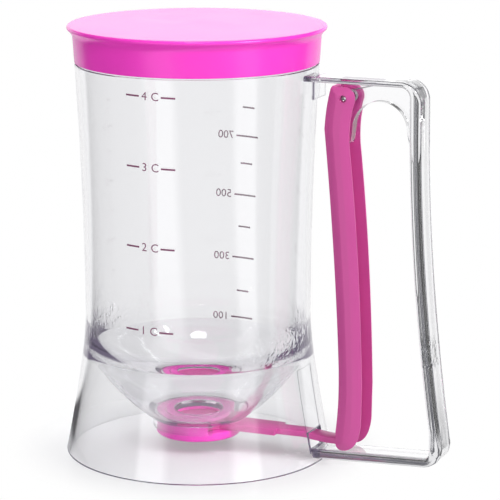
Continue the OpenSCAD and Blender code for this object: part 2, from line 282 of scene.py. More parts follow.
def cup_section(foot_r, rim_z, wall):
    """The cup's whole section, from the outlet up the bowl, over the rim and down to the foot."""
    rim_r, bore_r, collar_z = SHOULDER_R - RIM_STEP, CAP_R + 0.1, UNDER_Z - COLLAR_DROP
    inner_r = SHOULDER_R - wall
    return (
        [(OUTLET_R, FLOOR_Z - 0.3), (OUTLET_R + 0.3, FLOOR_Z)]
        + bowl_side(wall)
        + upper_wall(wall)[1:]
        + [(inner_r, rim_z - 0.2), (inner_r + 0.2, rim_z)]
        + [(rim_r - 0.2, rim_z), (rim_r, rim_z - 0.2), (rim_r, SHOULDER_Z)]
        + [(SHOULDER_R - 0.25, SHOULDER_Z), (SHOULDER_R, SHOULDER_Z - 0.25)]
        + upper_wall()[-2::-1]
        + skirt(foot_r)[-2:0:-1]
        + arc((foot_r - 0.4, 0.4), 0.4, 0, -90, 4)
        + arc((foot_r - wall + 0.4, 0.4), 0.4, -90, -180, 4)
        + skirt_inside(foot_r, wall)[1:]
        + [(COLLAR_R, collar_z + 0.3), (COLLAR_R - 0.3, collar_z)]
        + [(bore_r, collar_z), (bore_r, UNDER_Z), (OUTLET_R, UNDER_Z)]
    )


def band_outlines():
    """Side views of the handle: the band's outer edge and the edge of the loop inside it."""
    head_z, foot_z = HANDLE_TOP_Z - CORNER_R, LOW_BAR_Z + CORNER_R
    under_z, root_z = HANDLE_TOP_Z - TOP_BAR_T, LOW_BAR_Z - LOW_BAR_FALL
    inner_r = CORNER_R - GRIP_T
    middle_z = (foot_z + head_z) / 2 + 2
    back = bend((GRIP_TOP_X, head_z), (GRIP_TOP_X, middle_z), (GRIP_FOOT_X, foot_z))
    outer = [(30, root_z), (30, HANDLE_TOP_Z)]
    outer += arc((GRIP_TOP_X - CORNER_R, head_z), CORNER_R, 90, 0)
    outer += back[1:] + arc((GRIP_FOOT_X - CORNER_R, foot_z), CORNER_R, 0, -90)[1:]
    outer += [(58, root_z)]
    inner = [(20, root_z + LOW_BAR_T), (20, under_z)]
    inner += arc((GRIP_TOP_X - CORNER_R, under_z - inner_r), inner_r, 90, 0)
    inner += [point - Vector((GRIP_T, 0)) for point in back[1:-1]]
    inner += [(GRIP_FOOT_X - GRIP_T - 0.9, LOW_BAR_Z + LOW_BAR_T + 1.4)]
    inner += [(GRIP_FOOT_X - GRIP_T - 2.2, LOW_BAR_Z + LOW_BAR_T)]
    inner += [(58, root_z + LOW_BAR_T)]
    return outer, inner


def web_outline():
    """Side view of the web under the top bar, with its tongue and arch."""
    left_x, corner = FRONT_X - 0.5, (GRIP_TOP_X - CORNER_R, HANDLE_TOP_Z - CORNER_R)
    arch = (GRIP_TOP_X - 19.3, HANDLE_TOP_Z - CORNER_R - 12.2)
    tongue = (TONGUE_X + TONGUE_R, PIVOT_Z - TONGUE_H + TONGUE_R)
    end_z = arch[1] - 16
    # one millimetre under the band's skin
    root_r = CORNER_R - 1
    return (
        [(left_x, corner[1] + root_r), (left_x, PIVOT_Z)]
        + arc(tongue, TONGUE_R, 180, 360, 12)
        + arc(arch, ARCH_R, 180, 0, 32)
        + [(GRIP_TOP_X - GRIP_T + 0.9, end_z), (GRIP_TOP_X - 1, end_z)]
        + arc(corner, root_r, 0, 90)
    )


def trigger_toe():
    """Side view of the trigger's rounded toe."""
    return arc((FRONT_X + TOE_R, FOOT_Z + TOE_R), TOE_R, 270, 180, 10)


def trigger_front():
    """Side view of the trigger's front edge, from above the toe to the head."""
    head_z = HANDLE_TOP_Z - TOP_BAR_T - 0.9
    middle = (KNEE.y + BULGE.y) / 2
    return (
        bend((FRONT_X, FOOT_Z + 8), (KNEE.x + 0.2, FOOT_Z + 19), KNEE, 8)
        + bend(KNEE + Vector((-0.03, 4)), (BULGE.x + 5.4, middle), BULGE, 24)
        + bend(BULGE + Vector((0.3, 3.5)), (BULGE.x + 1, PIVOT_Z - 2),
               (BULGE.x + 2.7, head_z - 1), 8)
        + [Vector((BULGE.x + 3.4, head_z))]
    )


def trigger_back():
    """Side view of the trigger's back edge, from the head down to the toe."""
    neck = BULGE + Vector((TRIGGER_D + 0.4, -4))
    heel = KNEE + Vector((TRIGGER_D - 0.2, -4))
    middle = (KNEE.y + BULGE.y) / 2
    return (
        arc((PIVOT_X, PIVOT_Z), HEAD_R, 70, -25, 16)
        + bend((PIVOT_X + HEAD_R - 0.9, PIVOT_Z - 4), neck + Vector((-0.1, 8)), neck, 8)
        + bend(neck - Vector((-0.1, 3)), (neck.x + 5.4, middle - 1.5), heel, 24)
        + bend((heel.x - 0.3, FOOT_Z + 12), (heel.x - 1.4, FOOT_Z + 0.6),
               (FRONT_X + TOE_R + 0.7, FOOT_Z), 12)
    )


# ------------------------------
# Modelling helpers
# ------------------------------


def clear_selection():
    """Object mode, with nothing selected."""
    if bpy.context.mode != "OBJECT":
        bpy.ops.object.mode_set(mode="OBJECT")
    bpy.ops.object.select_all(action="DESELECT")


def hold(piece, mode="VERT"):
    """The piece becomes the only one selected, with the kind of element that edit mode selects."""
    clear_selection()
    kinds = ("VERT", "EDGE", "FACE")
    bpy.context.tool_settings.mesh_select_mode = [mode == kind for kind in kinds]
    piece.hide_set(False)
    piece.select_set(True)
    bpy.context.view_layer.objects.active = piece


def open_mesh(piece):
    """Edit mode on the piece alone, with all of it selected."""
    hold(piece)
    bpy.ops.object.mode_set(mode="EDIT")
    bpy.ops.mesh.select_all(action="SELECT")


def trace(name, points, closed):
    """A chain of edges through points in metres, filled as one face where closed."""
    clear_selection()
    bpy.ops.mesh.primitive_plane_add(size=MM, location=points[0])
    piece = bpy.context.object
    piece.name = name
    open_mesh(piece)
    bpy.ops.mesh.merge(type="CENTER")
    for here, there in zip(points, points[1:]):
        bpy.ops.mesh.extrude_vertices_move(TRANSFORM_OT_translate={"value": there - here})
    if closed:
        bpy.ops.mesh.select_all(action="SELECT")
        bpy.ops.mesh.edge_face_add()
    bpy.ops.object.mode_set(mode="OBJECT")
    bpy.ops.object.transform_apply()
    return piece


def lathe(name, section, steps, ring=True):
    """A section in millimetres of radius and height, turned round the Z axis."""
    points = [Vector((p[0], 0, p[1])) * MM for p in section]
    if ring:
        points.append(points[0])
    piece = trace(name, points, False)
    open_mesh(piece)
    bpy.ops.mesh.remove_doubles(threshold=1e-6)
    bpy.ops.mesh.select_all(action="SELECT")
    bpy.ops.mesh.spin(steps=steps, angle=math.tau, center=(0, 0, 0), axis=(0, 0, 1))
    tidy_faces()
    return piece


def tidy_faces():
    """Merges doubles in edit mode, points the faces outwards and goes back to object mode."""
    bpy.ops.mesh.select_all(action="SELECT")
    bpy.ops.mesh.remove_doubles(threshold=2e-6)
    bpy.ops.mesh.normals_make_consistent(inside=False)
    bpy.ops.object.mode_set(mode="OBJECT")


def plate(name, outline, width):
    """A side view in millimetres of X and Z, pulled out along Y to both sides of the middle."""
    points = [Vector((p[0], -width / 2, p[1])) * MM for p in outline]
    piece = trace(name, points, True)
    open_mesh(piece)
    bpy.ops.mesh.extrude_region_move(TRANSFORM_OT_translate={"value": (0, width * MM, 0)})
    tidy_faces()
    return piece


def block(name, low, high):
    """A box between two corners in millimetres, used as a cutter or a rib."""
    clear_selection()
    low, high = Vector(low) * MM, Vector(high) * MM
    bpy.ops.mesh.primitive_cube_add(size=1, location=(low + high) / 2, scale=high - low)
    piece = bpy.context.object
    piece.name = name
    bpy.ops.object.transform_apply()
    return piece


def cross_rod(name, x, z, radius, width, sides=48):
    """A rod across the object, along Y, in millimetres."""
    clear_selection()
    bpy.ops.mesh.primitive_cylinder_add(
        vertices=sides, radius=radius * MM, depth=width * MM,
        location=(x * MM, 0, z * MM), rotation=(math.pi / 2, 0, 0),
    )
    piece = bpy.context.object
    piece.name = name
    bpy.ops.object.transform_apply()
    return piece


def modify(piece, kind, **settings):
    """Applies a modifier with its settings to the piece, which is held."""
    modifier = piece.modifiers.new(kind, kind)
    for key, value in settings.items():
        setattr(modifier, key, value)
    bpy.ops.object.modifier_apply(modifier=modifier.name)


def combine(piece, tool, operation):
    """Adds, cuts or keeps what a tool shares with the piece, and removes the tool."""
    hold(piece)
    modify(piece, "BOOLEAN", operation=operation, solver="EXACT", object=tool)
    bpy.data.objects.remove(tool)


def round_edges(piece, width, segments=3, angle=35):
    """Rounds the edges that turn by more than an angle, with the width in metres."""
    hold(piece)
    modify(
        piece, "BEVEL", width=width, segments=segments, limit_method="ANGLE",
        angle_limit=math.radians(angle),
    )


def round_band(band, width):
    """Rounds the band's long edges, fully where the bar is thick and less on the thin top bar."""
    weights = band.data.attributes.new("bevel_weight_edge", "FLOAT", "EDGE")
    side = BAND_W / 2 * MM - 1e-5
    for edge in band.data.edges:
        ends = [band.data.vertices[i].co for i in edge.vertices]
        if not (all(end.y > side for end in ends) or all(end.y < -side for end in ends)):
            continue
        height = max(end.z for end in ends) / MM
        outside = min(end.x for end in ends) / MM > GRIP_TOP_X - 1.5
        ease = min(max((HANDLE_TOP_Z - height) / CORNER_R, 0.0), 1.0)
        weights.data[edge.index].value = 0.5 + ease * (0.5 if outside else 0.25)
    hold(band)
    modify(
        band, "BEVEL", width=width, segments=6, limit_method="WEIGHT", use_clamp_overlap=False
    )


def smooth(piece, angle=30, flats=False):
    """Shades smooth across edges that turn by less than an angle. Large faces may stay flat."""
    hold(piece)
    bpy.ops.object.shade_smooth_by_angle(angle=math.radians(angle))
    if flats:
        modify(piece, "WEIGHTED_NORMAL", keep_sharp=True)


def cad_copy(node, name):
    """A merged copy of a CAD node's mesh, with its flat faces whole again."""
    hold(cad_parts[node])
    bpy.ops.object.duplicate()
    piece = bpy.context.object
    piece.name = name
    for key in list(piece.keys()):
        del piece[key]
    piece.parent = None
    piece.data.materials.clear()
    open_mesh(piece)
    bpy.ops.mesh.remove_doubles(threshold=2e-6)
    bpy.ops.mesh.dissolve_limited(angle_limit=math.radians(0.5))
    bpy.ops.object.mode_set(mode="OBJECT")
    return piece


def dress(piece, body, material, nodes=()):
    """Gives a finished piece its body and material, and hides the CAD nodes that it stands for."""
    piece.data.materials.clear()
    piece.data.materials.append(material)
    if nodes:
        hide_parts(*nodes)
    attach(piece, body)


# ------------------------------
# Materials
# ------------------------------


def linear(code):
    """Linear colour with alpha 1 from an sRGB hex code."""
    values = [int(code[i : i + 2], 16) / 255 for i in (1, 3, 5)]
    bent = [v / 12.92 if v <= 0.04045 else ((v + 0.055) / 1.055) ** 2.4 for v in values]
    return (*bent, 1.0)


# A Mix node takes numbers at sockets 2 and 3, and colours at 6 and 7 with its result at 2.
# These settings ease a Map Range node in and out.
EASED = {"interpolation_type": "SMOOTHSTEP"}


def add_node(tree, kind, feeds=None, out=0, **settings):
    """Adds a node with its settings, its sockets fed by numbers, colours or other nodes' outputs.

    It gives back one output, or all of them where out is None.
    """
    node = tree.nodes.new("ShaderNode" + kind)
    for key, value in settings.items():
        setattr(node, key, value)
    for key, value in (feeds or {}).items():
        if isinstance(value, bpy.types.NodeSocket):
            tree.links.new(value, node.inputs[key])
        else:
            node.inputs[key].default_value = value
    return node.outputs if out is None else node.outputs[out]


def blank_material(name):
    """A new material with an empty node tree."""
    material = bpy.data.materials.new(name)
    material.use_nodes = True
    material.node_tree.nodes.clear()
    return material, material.node_tree


def moulded_plastic(name, code, roughness):
    """Injection-moulded coloured plastic, from a gloss or a satin mould.

    To the eye: an even, saturated colour with soft highlights. The melt's flow leaves faint paler
    swirls, and the mould's polish a fine skin that only breaks up the highlights.
    """
    material, tree = blank_material(name)
    place = add_node(tree, "TexCoord", out="Object")
    # a swirl is some 22 mm across
    swirl = add_node(
        tree, "TexNoise",
        {"Vector": place, "Scale": 1000 / 22.0, "Detail": 3.0, "Distortion": 0.6},
    )
    # the real skin is some 0.05 mm fine, and is drawn at 0.35 mm so that it shows
    skin = add_node(tree, "TexNoise", {"Vector": place, "Scale": 1000 / 0.35, "Detail": 2.0})
    deep = linear(code)
    pale = tuple(min(1.0, c * 1.06 + 0.004) for c in deep[:3]) + (1.0,)
    tint = add_node(tree, "Mix", {0: swirl, 6: deep, 7: pale}, 2, data_type="RGBA")
    rough = add_node(
        tree, "MapRange",
        {"Value": swirl, "To Min": roughness - 0.03, "To Max": roughness + 0.03},
    )
    relief = add_node(tree, "Bump", {"Height": skin, "Strength": 0.02, "Distance": 0.00005})
    shader = add_node(
        tree, "BsdfPrincipled",
        {"Base Color": tint, "Roughness": rough, "Normal": relief, "IOR": 1.49},
    )
    add_node(tree, "OutputMaterial", {"Surface": shader}, None)
    return material


def printed_ink(name, code):
    """Screen-printed ink on the clear wall.

    To the eye: matt and plum dark, a little thinner and speckled where the plastic took less.
    """
    material, tree = blank_material(name)
    place = add_node(tree, "TexCoord", out="Object")
    # screen mesh leaves specks of 0.1 mm, drawn at 0.8 mm so that they show
    speckle = add_node(tree, "TexNoise", {"Vector": place, "Scale": 1000 / 0.8, "Detail": 2.0})
    deep = linear(code)
    thin = tuple(min(1.0, c * 1.7 + 0.02) for c in deep[:3]) + (1.0,)
    tint = add_node(tree, "Mix", {0: speckle, 6: deep, 7: thin}, 2, data_type="RGBA")
    shader = add_node(tree, "BsdfPrincipled", {"Base Color": tint, "Roughness": 0.55})
    add_node(tree, "OutputMaterial", {"Surface": shader}, None)
    return material


def clear_san(name):
    """Clear styrene-acrylonitrile from a polished mould.

    To the eye: glassy, with bright and dark strokes along its edges, a faint grey cast where it is
    seen through its depth, and lively ripples where the thick root of the funnel has shrunk. The
    strokes' tone is partly painted shade, a flat plum grey glow where light bounced long inside.
    """
    material, tree = blank_material(name)
    place = add_node(tree, "TexCoord", out="Object")
    axes = add_node(tree, "SeparateXYZ", {"Vector": place}, None)
    # the polish waves over some 16 mm, and the shrunken root ripples over some 4.5 mm
    polish = add_node(tree, "TexNoise", {"Vector": place, "Scale": 1000 / 16.0, "Detail": 1.0})
    ripple = add_node(
        tree, "TexNoise",
        {"Vector": place, "Scale": 1000 / 4.5, "Detail": 2.0, "Distortion": 1.2},
    )
    from_root = add_node(tree, "Math", {0: axes["Z"], 1: ROOT_Z * MM}, operation="SUBTRACT")
    from_root = add_node(tree, "Math", {0: from_root}, operation="ABSOLUTE")
    near_root = add_node(
        tree, "MapRange", {"Value": from_root, "From Min": 9 * MM, "From Max": 2.5 * MM}, **EASED
    )
    # the melt meets beside the handle and opposite it, and the front stays smooth
    aside = add_node(tree, "Math", {0: axes["X"]}, operation="ABSOLUTE")
    aside = add_node(
        tree, "MapRange", {"Value": aside, "From Min": 27 * MM, "From Max": 38 * MM}, **EASED
    )
    near_root = add_node(tree, "Math", {0: near_root, 1: aside}, operation="MULTIPLY")
    sunk = add_node(tree, "Math", {0: ripple, 1: near_root}, operation="MULTIPLY")
    relief = add_node(tree, "Bump", {"Height": polish, "Strength": 0.1, "Distance": 0.0002})
    relief = add_node(
        tree, "Bump", {"Height": sunk, "Strength": 0.72, "Distance": 0.0005, "Normal": relief}
    )
    plastic = add_node(
        tree, "BsdfPrincipled",
        {"Base Color": linear("#FCFCFD"), "Transmission Weight": 1.0, "Roughness": 0.02,
         "IOR": 1.57, "Normal": relief},
    )
    # painted shade: where light has been mirrored more than three times inside, the plastic glows
    # a flat plum grey on the cup and a neutral grey on the handle, which paints the tone of the
    # strokes along its edges
    rays = add_node(tree, "LightPath", out=None)
    painted_shade_mask = add_node(tree, "Math", {0: rays["Glossy Depth"], 1: 3.5}, operation="GREATER_THAN")
    on_handle = add_node(
        tree, "MapRange", {"Value": axes["X"], "From Min": 75 * MM, "From Max": 90 * MM}
    )
    painted_shade_tint = add_node(
        tree, "Mix", {0: on_handle, 6: linear("#7D748A"), 7: linear("#6A6A71")}, 2,
        data_type="RGBA",
    )
    # the painted shade is an emitted colour, though the plastic is no lamp
    painted_shade_glow = add_node(tree, "Emission", {"Color": painted_shade_tint})
    plastic = add_node(tree, "MixShader", {0: painted_shade_mask, 1: plastic, 2: painted_shade_glow})
    # lamps shine through it, as they do through a clear wall
    passed = add_node(tree, "BsdfTransparent", {"Color": linear("#FAFAFA")})
    surface = add_node(tree, "MixShader", {0: rays["Is Shadow Ray"], 1: plastic, 2: passed})
    cast = add_node(tree, "VolumeAbsorption", {"Color": linear("#A2A2AA"), "Density": 18.0})
    add_node(tree, "OutputMaterial", {"Surface": surface, "Volume": cast}, None)
    return material


def bright_steel(name, roughness):
    """Stainless steel, ground or drawn bright.

    To the eye: a light grey metal with sharp glints, dulled by scratches along it.
    """
    material, tree = blank_material(name)
    place = add_node(tree, "TexCoord", out="Object")
    # grinding marks are some 0.02 mm wide, and are drawn at 0.15 mm
    scratch = add_node(tree, "TexNoise", {"Vector": place, "Scale": 1000 / 0.15, "Detail": 2.0})
    rough = add_node(
        tree, "MapRange",
        {"Value": scratch, "To Min": roughness - 0.05, "To Max": roughness + 0.1},
    )
    shader = add_node(
        tree, "BsdfPrincipled",
        {"Base Color": linear("#C6C8CA"), "Metallic": 1.0, "Roughness": rough},
    )
    add_node(tree, "OutputMaterial", {"Surface": shader}, None)
    return material


def white_sweep(name, code, azimuth):
    """Satin white sweep under the object.

    To the eye: soft grey where the object shades it, and plain white from there on.
    """
    material, tree = blank_material(name)
    place = add_node(tree, "TexCoord", out="Object")
    rays = add_node(tree, "LightPath", out=None)
    distance = add_node(tree, "VectorMath", {0: place}, "Value", operation="LENGTH")
    share = add_node(
        tree, "MapRange",
        {"Value": distance, "From Min": 0.05, "From Max": 0.085, "To Min": 0.3, "To Max": 1.0},
        **EASED,
    )
    seen = rays["Is Camera Ray"]
    for kind in ("Is Transmission Ray", "Is Glossy Ray"):
        seen = add_node(tree, "Math", {0: seen, 1: rays[kind]}, operation="MAXIMUM")
    share = add_node(tree, "Math", {0: seen, 1: share}, operation="MULTIPLY")
    # the flags stand round the handle, where their strokes show most
    from_handle = add_node(
        tree, "VectorMath", {0: place, 1: (90 * MM, 0.0, 0.0)}, operation="SUBTRACT"
    )
    away = add_node(tree, "VectorMath", {0: from_handle}, "Value", operation="LENGTH")
    away = add_node(
        tree, "MapRange", {"Value": away, "From Min": 0.04, "From Max": 0.09}, **EASED
    )
    flagged = add_node(
        tree, "Math", {0: mirrored_once(tree, rays), 1: away}, operation="MULTIPLY"
    )
    level = studio_level(tree, from_handle, azimuth, flagged)
    satin = add_node(
        tree, "BsdfPrincipled", {"Base Color": linear(code), "Roughness": 0.28, "IOR": 1.2}
    )
    white = add_node(tree, "Emission", {"Strength": level})
    mix = add_node(tree, "MixShader", {0: share, 1: satin, 2: white})
    add_node(tree, "OutputMaterial", {"Surface": mix}, None)
    return material


def mirrored_once(tree, rays):
    """1 for light that is mirrored and has crossed few walls, and 0 for the rest."""
    few = add_node(tree, "Math", {0: rays["Transmission Depth"], 1: 3.5}, operation="LESS_THAN")
    return add_node(tree, "Math", {0: rays["Glossy Depth"], 1: few}, operation="MINIMUM")


def studio_level(tree, vector, azimuth, mirrored):
    """Light round the object once it is mirrored: white behind it, dark flags at its sides, and
    two tall softboxes beside the camera. Straight through the object it is white all round."""
    flat = add_node(tree, "VectorMath", {0: vector, 1: (1.0, 1.0, 0.0)}, operation="MULTIPLY")
    way = add_node(tree, "VectorMath", {0: flat}, operation="NORMALIZE")
    behind = add_node(
        tree, "VectorMath", {0: way, 1: (-math.sin(azimuth), math.cos(azimuth), 0.0)}, "Value",
        operation="DOT_PRODUCT",
    )
    from_box = add_node(tree, "Math", {0: behind, 1: 0.72}, operation="ADD")
    from_box = add_node(tree, "Math", {0: from_box}, operation="ABSOLUTE")
    level = 0.0
    for value, start, end, low, high in (
        (behind, 0.56, 0.64, 0.1, 1.0),  # the backdrop, between the flags
        (behind, -0.35, -0.6, 0.0, 0.2),  # the room round the camera
        (from_box, 0.2, 0.1, 0.0, 1.2),  # the softboxes
    ):
        part = add_node(
            tree, "MapRange",
            {"Value": value, "From Min": start, "From Max": end, "To Min": low, "To Max": high},
            **EASED,
        )
        level = add_node(tree, "Math", {0: level, 1: part}, operation="ADD")
    return add_node(tree, "Mix", {0: mirrored, 2: 1.0, 3: level})


# ------------------------------
# Operators
# ------------------------------


class BATTER_OT_clear_body(bpy.types.Operator):
    """Turns the clear cup, funnel and skirt, and joins the loop handle to them"""

    bl_idname = "batter.clear_body"
    bl_label = "Clear body"

    def execute(self, context):
        sizes = context.scene.batter_clear_body
        foot_r, rim_z, wall = sizes.foot_radius / MM, sizes.rim_height / MM, sizes.wall / MM
        cup = lathe("clear_body", cup_section(foot_r, rim_z, wall), sizes.steps)
        self.cut_skirt(cup, foot_r, wall, sizes.steps)
        handle = self.loop_handle(sizes.edge)
        core = lathe("core", self.filled_section(foot_r, 0.9), sizes.steps, ring=False)
        combine(handle, core, "DIFFERENCE")
        combine(cup, handle, "UNION")
        open_mesh(cup)
        tidy_faces()
        smooth(cup, 28, flats=True)
        dress(cup, "housing", clear_san("Clear SAN, polished mould"),
              ("cup", "handle_frame"))
        return {"FINISHED"}

    @staticmethod
    def filled_section(foot_r, inset):
        """The cup's outer form, drawn in a little so that the handle roots in the wall."""
        return (
            [(0, 0.0)]
            + skirt(foot_r, inset)
            + upper_wall(inset)[1:]
            + [(SHOULDER_R - inset, 200), (0, 200)]
        )

    @staticmethod
    def cut_skirt(cup, foot_r, wall, steps):
        """Cuts the arm's slot, the guide groove above it and the opening in the collar."""
        half = BAND_W / 2
        groove = lathe(
            "groove",
            skirt(foot_r, wall - 0.35)[4:-8] + skirt(foot_r, wall + 1)[-9:3:-1],
            steps,
        )
        window = block("window", (30, -half, NECK_Z), (70, half, FLARE_Z - 4))
        combine(groove, window, "INTERSECT")
        combine(cup, groove, "DIFFERENCE")
        combine(cup, block("slot", (29, -half, LOW_BAR_Z), (87, half, SLOT_TOP_Z)), "DIFFERENCE")
        opening = block(
            "opening", (0, -GATE_ROOM_R, UNDER_Z - COLLAR_DROP - 1), (21, GATE_ROOM_R, UNDER_Z)
        )
        combine(cup, opening, "DIFFERENCE")

    @staticmethod
    def loop_handle(edge):
        """The band with its loop, the web and the rib at its root, edges rounded."""
        outer, inner = band_outlines()
        band = plate("band", outer, BAND_W)
        combine(band, plate("loop", inner, BAND_W + 4), "DIFFERENCE")
        round_band(band, edge)
        web = plate("web", web_outline(), WEB_T)
        combine(web, cross_rod("bore", PIVOT_X, PIVOT_Z, PIN_R + 0.02, BAND_W), "DIFFERENCE")
        round_edges(web, 0.7 * MM, 4, 50)
        combine(band, web, "UNION")
        rib_x = math.sqrt(SHOULDER_R**2 - (BAND_W / 2) ** 2) + RIB_REACH
        side, top_z = BAND_W / 2 - 0.1, HANDLE_TOP_Z - TOP_BAR_T
        rib = block("rib", (rib_x - RIB_T, -side, top_z - RIB_H), (rib_x, side, top_z + 0.6))
        round_edges(rib, 0.5 * MM, 4)
        combine(band, rib, "UNION")
        return band


class BATTER_OT_lid(bpy.types.Operator):
    """Turns the press-on lid with its brim, band and plug ring"""

    bl_idname = "batter.lid"
    bl_label = "Lid"

    def execute(self, context):
        sizes = context.scene.batter_lid
        rim_z, rim_r = cad_span("cup", 2, 1) / MM, SHOULDER_R - RIM_STEP
        band_in_r, band_z, plate_z = rim_r + 0.1, SHOULDER_Z + 0.6, rim_z + 0.1
        band_out_r = band_in_r + 0.9
        plug_out_r = SHOULDER_R - 2 - 0.3
        plug_in_r = plug_out_r - PLUG_T
        brim_r, top_z = cad_span("lid", 1, 1) / MM, cad_span("lid", 2, 1) / MM
        section = (
            [(0, plate_z), (plug_in_r, plate_z), (plug_in_r, rim_z - PLUG_H)]
            + [(plug_out_r, rim_z - PLUG_H), (plug_out_r, plate_z)]
            + [(band_in_r, plate_z), (band_in_r, band_z)]
            + arc((band_out_r - 0.3, band_z + 0.3), 0.3, -90, 0, 4)
            + bend((band_out_r + 0.65, plate_z - 1), (band_out_r + 0.7, plate_z + 0.6),
                   (brim_r - 0.6, top_z - 1.9), 10)
            + arc((brim_r - LID_TOP_EDGE_R, top_z - LID_TOP_EDGE_R), LID_TOP_EDGE_R, -40, 90, 16)
            + [(brim_r - 6, top_z), (brim_r - 20, top_z), (0, top_z)]
        )
        lid = lathe("lid_shell", section, sizes.steps, ring=False)
        smooth(lid, 35)
        plastic = moulded_plastic("Pink polypropylene, gloss mould", sizes.colour, 0.24)
        dress(lid, "lid_body", plastic, ("lid",))
        return {"FINISHED"}


class BATTER_OT_trigger(bpy.types.Operator):
    """Builds the squeeze trigger: a channel with crowned cheeks, a notch and a pin hole"""

    bl_idname = "batter.trigger"
    bl_label = "Trigger"

    def execute(self, context):
        sizes = context.scene.batter_trigger
        crown_w, crown_d = sizes.crown_width, sizes.crown_depth
        width = TRIGGER_W - 2 * crown_d / MM
        lever = plate("trigger_shell", trigger_toe() + trigger_front() + trigger_back(), width)
        hold(lever, "FACE")
        for face in lever.data.polygons:
            face.select = abs(face.normal.y) > 0.99
        bpy.ops.object.mode_set(mode="EDIT")
        # rings this fine never step past a corner that closes, so its points merge in time
        rings = 16
        rises = [crown_d * (1 - (1 - i / rings) ** 1.4) for i in range(rings + 1)]
        for low, high in zip(rises, rises[1:]):
            bpy.ops.mesh.inset(thickness=crown_w / rings, depth=high - low, use_even_offset=True)
            bpy.ops.mesh.remove_doubles(threshold=0.16 * MM)
        tidy_faces()
        channel_w = TRIGGER_W - 2 * TRIGGER_WALL
        inside = (
            [(FRONT_X + TRIGGER_WALL, -1)]
            + [point + Vector((TRIGGER_WALL, 0)) for point in trigger_front()]
            + [(BULGE_X + TRIGGER_WALL + 3.4, 170), (90, 170), (90, -1)]
        )
        combine(lever, plate("channel", inside, channel_w), "DIFFERENCE")
        notch = block(
            "notch", (60, -NOTCH_HALF, 0), (FRONT_X + 5.3, NOTCH_HALF, NECK_TOP_Z + 0.5)
        )
        combine(lever, notch, "DIFFERENCE")
        combine(lever, cross_rod("hole", PIVOT_X, PIVOT_Z, PIN_R + 0.06, 20), "DIFFERENCE")
        smooth(lever, 35, flats=True)
        plastic = moulded_plastic("Rose ABS, satin mould", sizes.colour, 0.36)
        dress(lever, "trigger", plastic, ("trigger_lever",))
        return {"FINISHED"}


class BATTER_OT_valve(bpy.types.Operator):
    """Finishes the valve cap, the sliding gate and the seal"""

    bl_idname = "batter.valve"
    bl_label = "Valve"

    def execute(self, context):
        sizes = context.scene.batter_valve
        gloss = moulded_plastic("Pink polypropylene, valve cap", sizes.colour, 0.28)
        satin = moulded_plastic("Rose ABS, gate", context.scene.batter_trigger.colour, 0.34)
        for node, name, body, slot, plastic in (
            ("valve_cap", "valve_cap_shell", "housing", "pink_plastic", gloss),
            ("slide_gate", "slide_gate_plate", "gate", "trigger_plastic", satin),
        ):
            piece = cad_copy(node, name)
            round_edges(piece, sizes.edge, 3, 40)
            smooth(piece, 35)
            dress(piece, body, plastic, (node,))
        silicone = moulded_plastic("Pink silicone", sizes.colour, 0.42)
        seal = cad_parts["valve_seal"].data
        seal.materials.clear()
        seal.materials.append(silicone)
        return {"FINISHED"}


class BATTER_OT_pivot(bpy.types.Operator):
    """Builds the pivot pin with dished ends, and the return spring round it"""

    bl_idname = "batter.pivot"
    bl_label = "Pivot and spring"

    def execute(self, context):
        sizes = context.scene.batter_pivot
        half = TRIGGER_W / 2 - sizes.recess / MM
        section = (
            [(0, -half + 0.5), (0.6, -half + 0.42), (1.1, -half + 0.15)]
            + [(PIN_R - 0.2, -half), (PIN_R, -half + 0.2)]
            + [(PIN_R, half - 0.2), (PIN_R - 0.2, half)]
            + [(1.1, half - 0.15), (0.6, half - 0.42), (0, half - 0.5)]
        )
        pin = lathe("pivot_pin_steel", section, 48, ring=False)
        pin.rotation_euler = (math.pi / 2, 0, 0)
        pin.location = Vector((PIVOT_X, 0, PIVOT_Z)) * MM
        hold(pin)
        bpy.ops.object.transform_apply()
        smooth(pin, 40)
        ground = bright_steel("Ground stainless pin", 0.22)
        dress(pin, "housing", ground, ("pivot_pin",))
        self.spring(sizes.wire, bright_steel("Drawn spring wire", 0.3))
        return {"FINISHED"}

    @staticmethod
    def spring(wire, material):
        """The coil and its front leg turn with the trigger, and the other leg stays on the bar."""
        pivot, coil_r, radius = Vector((PIVOT_X, PIVOT_Z)), 2.3, wire / MM
        web_y = WEB_T / 2 + 0.15 + radius
        cheek_y = TRIGGER_W / 2 - TRIGGER_WALL - 0.15 - radius
        wall_end = Vector((BULGE_X + TRIGGER_WALL + radius + 0.5, PIVOT_Z - 17))
        bar_end = Vector((PIVOT_X + 12.3, HANDLE_TOP_Z - TOP_BAR_T - radius - 0.03))
        # each leg leaves the coil along its tangent, with just over two turns between them
        lean = [
            math.degrees(math.acos(coil_r / (end - pivot).length)) for end in (wall_end, bar_end)
        ]
        start = heading(wall_end - pivot) - lean[0] + 360
        stop = heading(bar_end - pivot) + lean[1] - 720
        count = 80
        turns = [
            Vector((point.x, cheek_y + (web_y - cheek_y) * i / count, point.y))
            for i, point in enumerate(arc(pivot, coil_r, start, stop, count))
        ]
        front = [Vector((wall_end.x, cheek_y, wall_end.y))] + turns
        back = [turns[-1], Vector((bar_end.x, web_y, bar_end.y))]
        for name, path, body in (
            ("spring_coil", front, "trigger"),
            ("spring_bar_leg", back, "housing"),
        ):
            piece = trace(name, [point * MM for point in path], False)
            hold(piece)
            bpy.ops.object.convert(target="CURVE")
            piece = bpy.context.object
            piece.data.bevel_depth = wire
            piece.data.bevel_resolution = 3
            piece.data.use_fill_caps = True
            bpy.ops.object.convert(target="MESH")
            piece = bpy.context.object
            bpy.ops.object.mode_set(mode="EDIT")
            tidy_faces()
            smooth(piece, 50)
            dress(piece, body, material, ("return_spring",))


